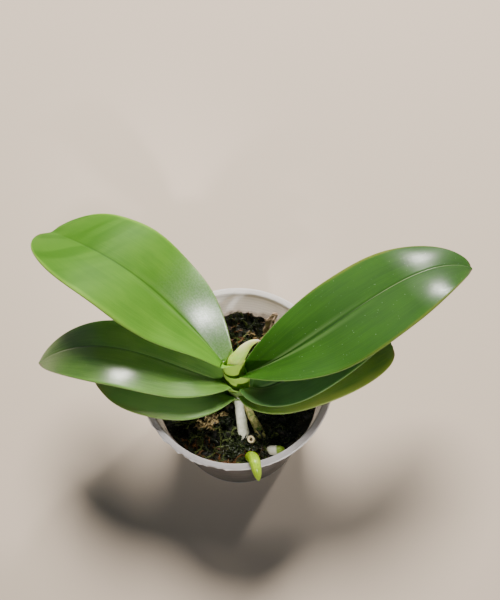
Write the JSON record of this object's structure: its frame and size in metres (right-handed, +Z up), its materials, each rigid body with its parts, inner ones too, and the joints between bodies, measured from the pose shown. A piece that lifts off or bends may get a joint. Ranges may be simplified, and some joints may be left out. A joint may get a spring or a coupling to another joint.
{
  "type": "potted orchid",
  "caption": "Young moth orchid with broad arching leaves and air roots, in a small translucent plastic pot filled with sphagnum moss.",
  "frame": {"origin": "centre of the pot's underside", "axes": "+Z up, -Y towards the front where the air root comes over the rim, +X along the leaf spread to the right"},
  "size_m": [0.2, 0.1135, 0.1287],
  "materials": {
    "pot_plastic": "thin frosted translucent plastic, slightly cloudy",
    "moss": "wet dark sphagnum with paler strands",
    "stem_green": "smooth yellow-green leaf sheaths, satin",
    "leaf_green": "smooth waxy leaf, satin to glossy",
    "leaf_pale": "young pale leaf, satin",
    "root_silver": "dry silvery root skin with a bright green glossy tip",
    "root_brown": "brown-green root skin, matt",
    "husk": "dry papery brown husk, matt"
  },
  "bodies": {
    "root": {"pot": "pot_plastic", "moss": "moss", "stem": "stem_green", "leaf_left_upper": "leaf_green", "leaf_left_middle": "leaf_green", "leaf_left_lower": "leaf_green", "leaf_right_upper": "leaf_green", "leaf_right_middle": "leaf_green", "leaf_right_lower": "leaf_green", "leaf_new": "leaf_pale", "root_front": "root_silver", "root_side": "root_brown", "root_stub": "root_silver", "dry_husk": "husk"}
  },
  "joints": []
}
